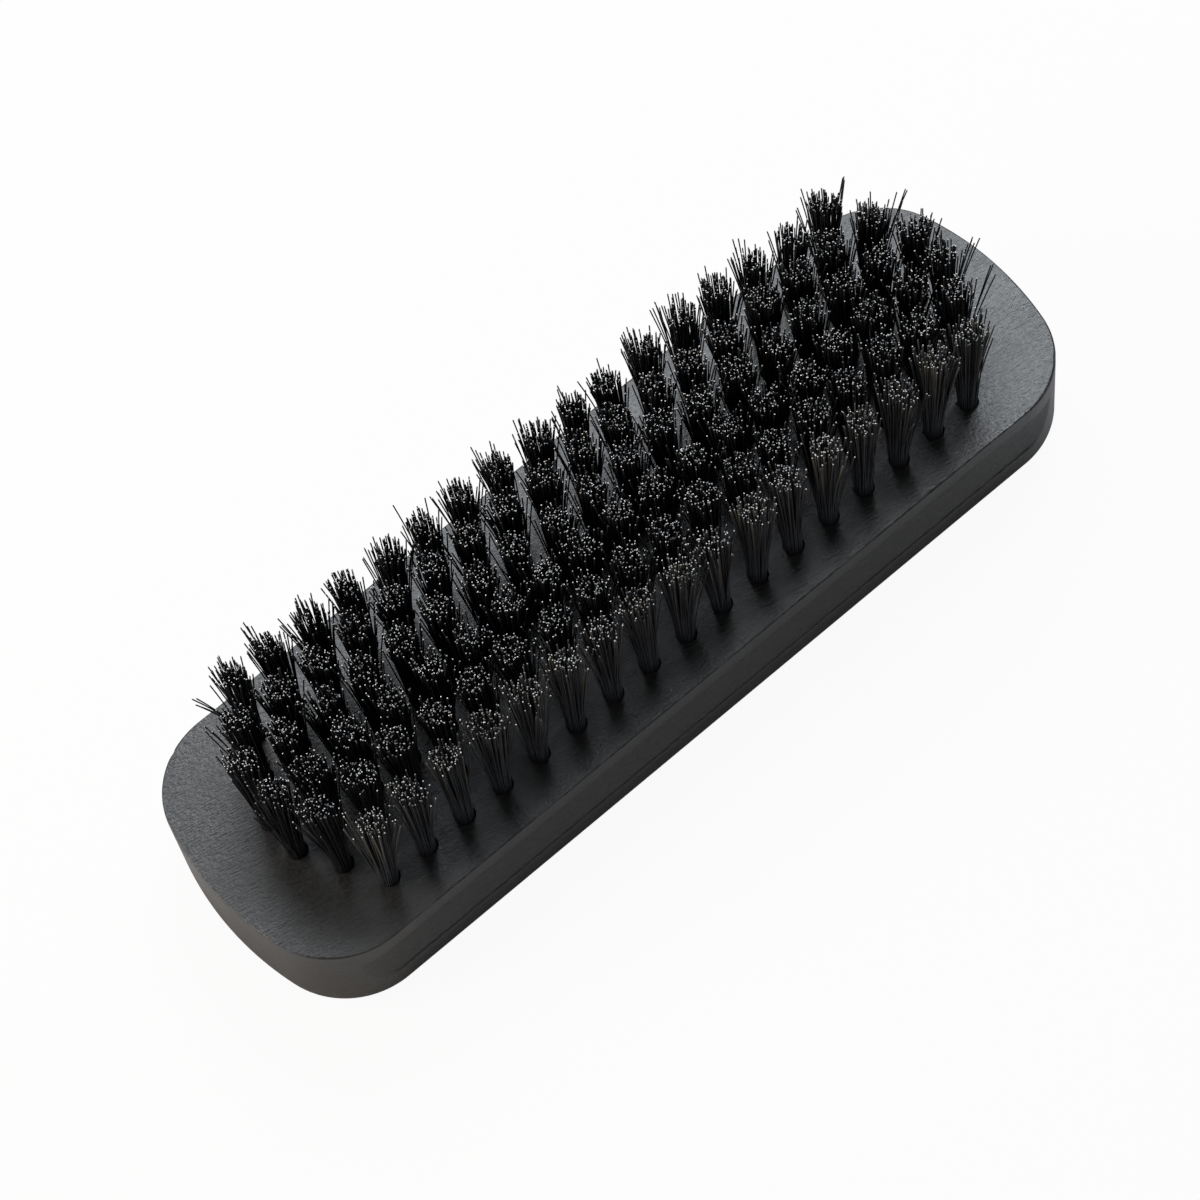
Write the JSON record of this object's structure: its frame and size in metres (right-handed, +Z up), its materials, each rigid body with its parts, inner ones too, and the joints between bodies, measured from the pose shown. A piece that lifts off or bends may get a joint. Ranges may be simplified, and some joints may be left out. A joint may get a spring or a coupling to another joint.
{
  "type": "fabric cleaning brush",
  "caption": "Hand brush for cleaning fabric: a rounded painted wooden block with finger grooves along its sides and staggered rows of stiff upright bristle tufts.",
  "frame": {"origin": "middle of the flat back that the brush rests on, bristles up", "axes": "+X along the length, +Y across the width, +Z up out of the bristle face"},
  "size_m": [0.16, 0.048, 0.0395],
  "materials": {
    "painted_wood": "satin black paint over fine straight grain along the length, thin at the crisp edges",
    "bristle": "black synthetic filament with a soft sheen and pale cut tips"
  },
  "bodies": {
    "root": {"wooden_block": "painted_wood", "tufts_row_1_01_02": "bristle", "tufts_row_1_03_04": "bristle", "tufts_row_1_05_06": "bristle", "tufts_row_1_07_08": "bristle", "tufts_row_1_09_10": "bristle", "tufts_row_1_11_12": "bristle", "tufts_row_1_13_14": "bristle", "tufts_row_1_15_17": "bristle", "tufts_row_2_01_02": "bristle", "tufts_row_2_03_04": "bristle", "tufts_row_2_05_06": "bristle", "tufts_row_2_07_08": "bristle", "tufts_row_2_09_10": "bristle", "tufts_row_2_11_12": "bristle", "tufts_row_2_13_14": "bristle", "tufts_row_2_15_16": "bristle", "tufts_row_2_17_18": "bristle", "tufts_row_3_01_02": "bristle", "tufts_row_3_03_04": "bristle", "tufts_row_3_05_06": "bristle", "tufts_row_3_07_08": "bristle", "tufts_row_3_09_10": "bristle", "tufts_row_3_11_12": "bristle", "tufts_row_3_13_14": "bristle", "tufts_row_3_15_16": "bristle", "tufts_row_3_17_19": "bristle", "tufts_row_4_01_02": "bristle", "tufts_row_4_03_04": "bristle", "tufts_row_4_05_06": "bristle", "tufts_row_4_07_08": "bristle", "tufts_row_4_09_10": "bristle", "tufts_row_4_11_12": "bristle", "tufts_row_4_13_14": "bristle", "tufts_row_4_15_16": "bristle", "tufts_row_4_17_19": "bristle", "tufts_row_5_01_02": "bristle", "tufts_row_5_03_04": "bristle", "tufts_row_5_05_06": "bristle", "tufts_row_5_07_08": "bristle", "tufts_row_5_09_10": "bristle", "tufts_row_5_11_12": "bristle", "tufts_row_5_13_14": "bristle", "tufts_row_5_15_16": "bristle", "tufts_row_5_17_18": "bristle", "tufts_row_6_01_02": "bristle", "tufts_row_6_03_04": "bristle", "tufts_row_6_05_06": "bristle", "tufts_row_6_07_08": "bristle", "tufts_row_6_09_10": "bristle", "tufts_row_6_11_12": "bristle", "tufts_row_6_13_14": "bristle", "tufts_row_6_15_17": "bristle"}
  },
  "joints": []
}
